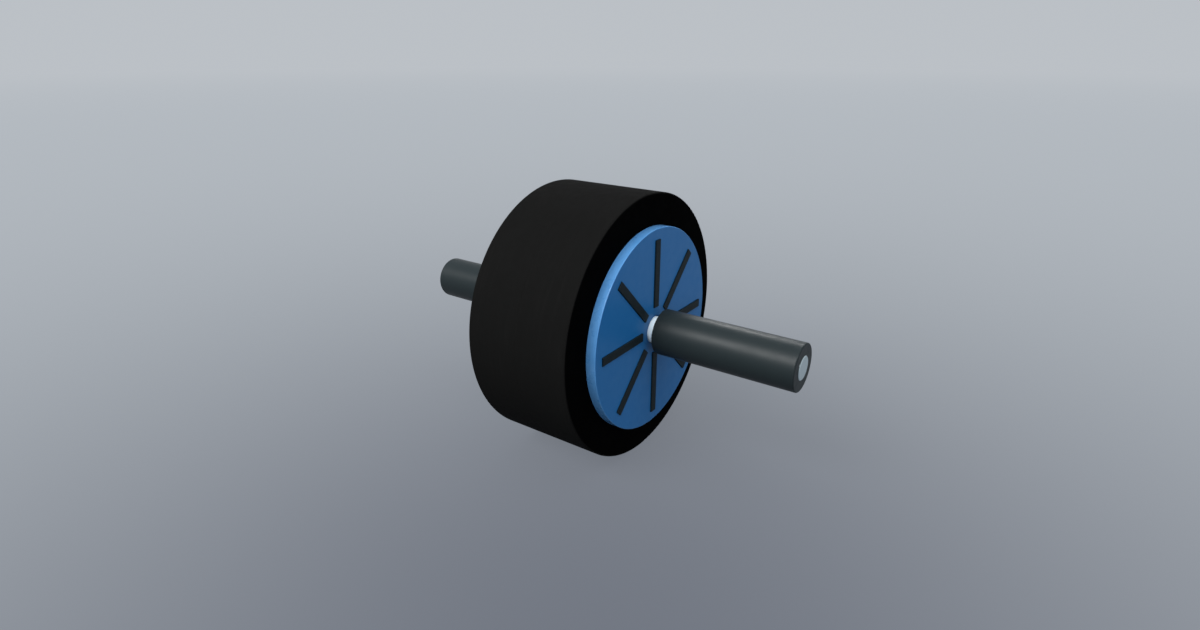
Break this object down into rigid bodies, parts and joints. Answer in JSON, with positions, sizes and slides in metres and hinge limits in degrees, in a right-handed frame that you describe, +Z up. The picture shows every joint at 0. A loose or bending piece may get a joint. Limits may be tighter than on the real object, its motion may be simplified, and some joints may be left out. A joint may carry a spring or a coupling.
{
  "type": "ab wheel roller",
  "caption": "Ab wheel roller: a wide rubber-tyred wheel with blue side discs and dark radial bars, turning on ball bearings between two straight grips.",
  "frame": {"origin": "centre of the wheel, on the axle's axis and halfway between the grips", "axes": "+Y along the axle towards the left-hand grip, +X the direction in which the wheel rolls, +Z up"},
  "size_m": [0.2, 0.3242, 0.2],
  "materials": {
    "tyre_rubber": "matt moulded rubber",
    "core_plastic": "fine moulded grain",
    "disc_plastic": "satin moulded plastic",
    "grip_rubber": "smooth satin rubber",
    "shaft_steel": "ground",
    "collar_metal": "bright turned",
    "spring_steel": "blackened spring steel",
    "bolt_steel": "zinc plated",
    "bearing_steel": "ground and polished",
    "cage_plastic": "natural nylon"
  },
  "bodies": {
    "axle": {"axle_shaft": "shaft_steel", "inner_spacer_tube": "shaft_steel", "right_collar": "collar_metal", "left_collar": "collar_metal", "right_retaining_ring": "spring_steel", "left_retaining_ring": "spring_steel", "right_grip": "grip_rubber", "left_grip": "grip_rubber", "right_bearing_inner_ring": "bearing_steel", "left_bearing_inner_ring": "bearing_steel"},
    "wheel": {"tyre": "tyre_rubber", "right_core_half": "core_plastic", "left_core_half": "core_plastic", "right_side_disc": "disc_plastic", "left_side_disc": "disc_plastic", "core_bolts": "bolt_steel", "core_nuts": "bolt_steel", "right_bearing_outer_ring": "bearing_steel", "left_bearing_outer_ring": "bearing_steel", "right_outer_shield": "bearing_steel", "left_outer_shield": "bearing_steel", "right_inner_shield": "bearing_steel", "left_inner_shield": "bearing_steel"},
    "right_ball_set": {"right_ball_cage": "cage_plastic", "right_balls": "bearing_steel"},
    "left_ball_set": {"left_ball_cage": "cage_plastic", "left_balls": "bearing_steel"}
  },
  "joints": [
    {"name": "wheel_spin", "type": "hinge", "parent": "axle", "child": "wheel", "pos_m": [0, 0, 0], "axis": [0, 1, 0], "continuous": true},
    {"name": "right_cage_orbit", "type": "hinge", "parent": "axle", "child": "right_ball_set", "pos_m": [0, -0.0375, 0], "axis": [0, 1, 0], "continuous": true},
    {"name": "left_cage_orbit", "type": "hinge", "parent": "axle", "child": "left_ball_set", "pos_m": [0, 0.0375, 0], "axis": [0, 1, 0], "continuous": true}
  ],
  "couplings": [
    {"joint": "right_cage_orbit", "follows": "wheel_spin", "ratio": 0.61837},
    {"joint": "left_cage_orbit", "follows": "wheel_spin", "ratio": 0.61837}
  ]
}
